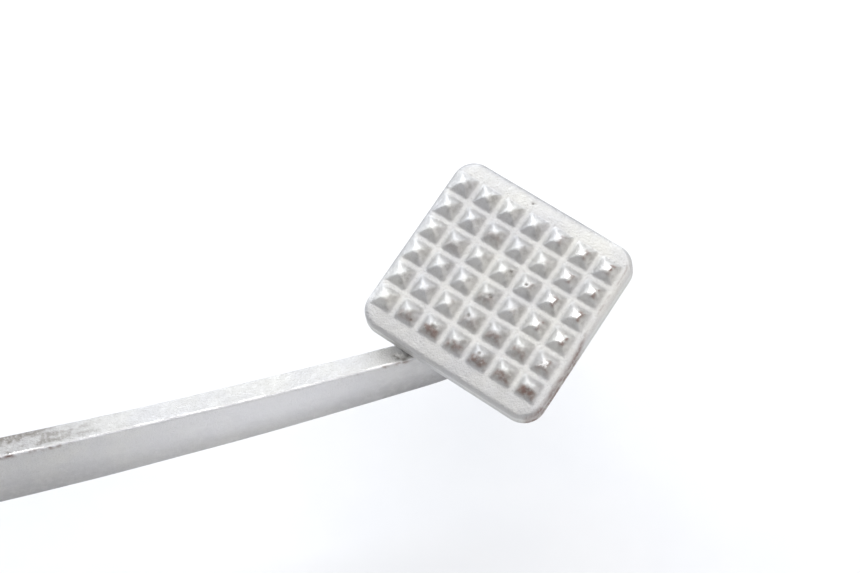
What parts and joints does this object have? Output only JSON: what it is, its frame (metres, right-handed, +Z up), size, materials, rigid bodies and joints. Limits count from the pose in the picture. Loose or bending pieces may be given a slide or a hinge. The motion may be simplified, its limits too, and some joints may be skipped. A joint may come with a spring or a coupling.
{
  "type": "motorcycle rear brake pedal",
  "caption": "Foot-operated rear brake lever: a square pad with pyramid studs on a curved, tapered arm, with pivot bolt, return spring, height stop and clevis.",
  "frame": {"origin": "on the pivot axis, at the seat of the pivot sleeve against the vehicle's frame", "axes": "+X along the arm from the pivot to the pad, +Y along the pivot axis and outboard, +Z up as installed"},
  "size_m": [0.2629, 0.0877, 0.0712],
  "materials": {
    "silver_paint": "worn silver paint over cast grain",
    "zinc": "zinc plate, slightly dulled",
    "spring_steel": "dark drawn wire",
    "bronze": "turned, satin",
    "rubber": "matt moulded"
  },
  "bodies": {
    "frame_side": {"pivot_bolt": "zinc", "pivot_sleeve": "zinc", "spring_washer": "zinc", "thrust_washer_outboard": "zinc", "thrust_washer_inboard": "zinc", "return_spring": "spring_steel"},
    "pedal": {"pivot_boss": "silver_paint", "bush_inboard": "bronze", "bush_outboard": "bronze", "seal_inboard": "rubber", "seal_outboard": "rubber", "grease_nipple": "zinc", "pedal_arm": "silver_paint", "foot_pad": "silver_paint", "pad_weld_near": "silver_paint", "pad_weld_far": "silver_paint", "boss_weld_near": "silver_paint", "boss_weld_far": "silver_paint", "rod_lever": "silver_paint", "rod_lever_weld_near": "silver_paint", "rod_lever_weld_far": "silver_paint", "stop_lug": "silver_paint", "stop_locknut": "zinc"},
    "stop_screw": {"stop_bolt": "zinc"},
    "clevis_fork": {"clevis": "zinc", "clevis_pin": "zinc", "clevis_pin_washer": "zinc", "clevis_split_pin": "zinc", "clevis_locknut": "zinc", "pushrod": "zinc"}
  },
  "joints": [
    {"name": "pedal_pivot", "type": "hinge", "parent": "frame_side", "child": "pedal", "pos_m": [0, 0, 0], "axis": [0, 1, 0], "range_deg": [0, 14], "stiffness_Nm_per_rad": 3, "springref_deg": -51.57, "deforming": ["return_spring"]},
    {"name": "stop_bolt_adjust", "type": "slide", "parent": "pedal", "child": "stop_screw", "axis": [0, 0, 1], "range_m": [-0.003, 0.005]},
    {"name": "clevis_swing", "type": "hinge", "parent": "pedal", "child": "clevis_fork", "pos_m": [-0.038, 0.024, 0], "axis": [0, 1, 0], "range_deg": [-10, 195]}
  ]
}
